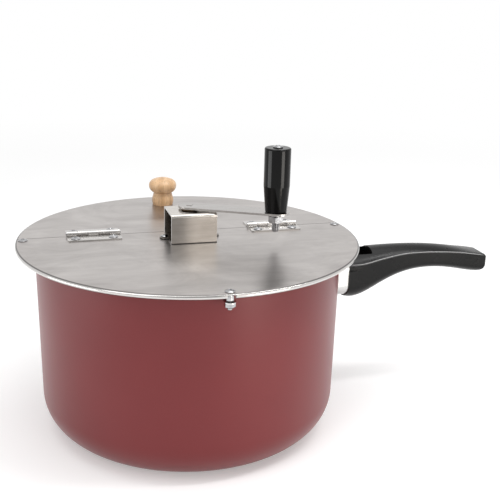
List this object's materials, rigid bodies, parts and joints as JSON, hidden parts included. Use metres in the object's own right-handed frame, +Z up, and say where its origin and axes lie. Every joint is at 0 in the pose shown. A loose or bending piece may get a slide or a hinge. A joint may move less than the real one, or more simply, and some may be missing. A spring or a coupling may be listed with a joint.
{
  "type": "stovetop popcorn popper",
  "caption": "Deep stovetop pan with one moulded handle, clip-on flat lid with a hinged pouring flap, and a hand crank on top that turns a wire stirrer inside the pan.",
  "frame": {"origin": "centre of the pan's flat base", "axes": "+Z up, +X along the pan handle and the lid's hinge line, +Y towards the lid's opening flap"},
  "size_m": [0.3973, 0.27, 0.2329],
  "materials": {
    "pan": "satin",
    "handle": "satin",
    "grip": "gloss",
    "knob": "clear lacquer",
    "lid": "brushed",
    "bracket": "polished",
    "bright_steel": "polished",
    "bush": "plain",
    "wire": "bright drawn",
    "fastener": "zinc plated"
  },
  "bodies": {
    "pan": {"pan_body": "pan", "handle_bracket": "bright_steel", "bracket_rivets": "fastener", "flame_guard": "bracket", "pan_handle": "handle", "handle_screw": "fastener", "lid_plate": "lid", "lid_clamp_screws": "fastener", "lid_clamp_nuts": "fastener", "hinge_pins": "fastener", "front_hinge_screws": "fastener", "front_hinge_nuts": "fastener", "crank_bracket": "bracket", "bracket_screws": "fastener", "bracket_nuts": "fastener", "upper_bush": "bush", "lower_bush": "bush", "left_hinge_front_leaf": "bright_steel", "right_hinge_front_leaf": "bright_steel"},
    "flap": {"lid_flap": "lid", "rear_hinge_screws": "fastener", "rear_hinge_nuts": "fastener", "lid_knob": "knob", "knob_screw": "fastener", "knob_washer": "fastener", "left_hinge_rear_leaf": "bright_steel", "right_hinge_rear_leaf": "bright_steel"},
    "crank": {"crank_arm": "bright_steel", "crank_shaft": "bright_steel", "retaining_ring": "fastener", "stirrer_hub": "wire", "stirrer_set_screw": "fastener", "stirrer_wire": "wire", "grip_bolt": "fastener", "grip_nut": "fastener", "grip_washer": "fastener"},
    "grip": {"crank_grip": "grip"},
    "front_clip": {"front_lid_clip": "bright_steel"},
    "left_clip": {"left_lid_clip": "bright_steel"},
    "right_clip": {"right_lid_clip": "bright_steel"}
  },
  "joints": [
    {"name": "crank_spin", "type": "hinge", "parent": "pan", "child": "crank", "pos_m": [0, 0, 0.1547], "axis": [0, 0, -1], "continuous": true},
    {"name": "grip_spin", "type": "hinge", "parent": "crank", "child": "grip", "pos_m": [0.06148, -0.03132, 0.206], "axis": [0, 0, 1], "continuous": true},
    {"name": "flap_open", "type": "hinge", "parent": "pan", "child": "flap", "pos_m": [0, 0.018, 0.1569], "axis": [-1, 0, 0], "range_deg": [-105, 0]},
    {"name": "front_clip_turn", "type": "hinge", "parent": "pan", "child": "front_clip", "pos_m": [0, -0.1293, 0.148], "axis": [0, 0, 1], "range_deg": [0, 90]},
    {"name": "left_clip_turn", "type": "hinge", "parent": "pan", "child": "left_clip", "pos_m": [-0.12859, 0.01352, 0.148], "axis": [0, 0, 1], "range_deg": [0, 90]},
    {"name": "right_clip_turn", "type": "hinge", "parent": "pan", "child": "right_clip", "pos_m": [0.12859, 0.01352, 0.148], "axis": [0, 0, 1], "range_deg": [0, 90]}
  ]
}
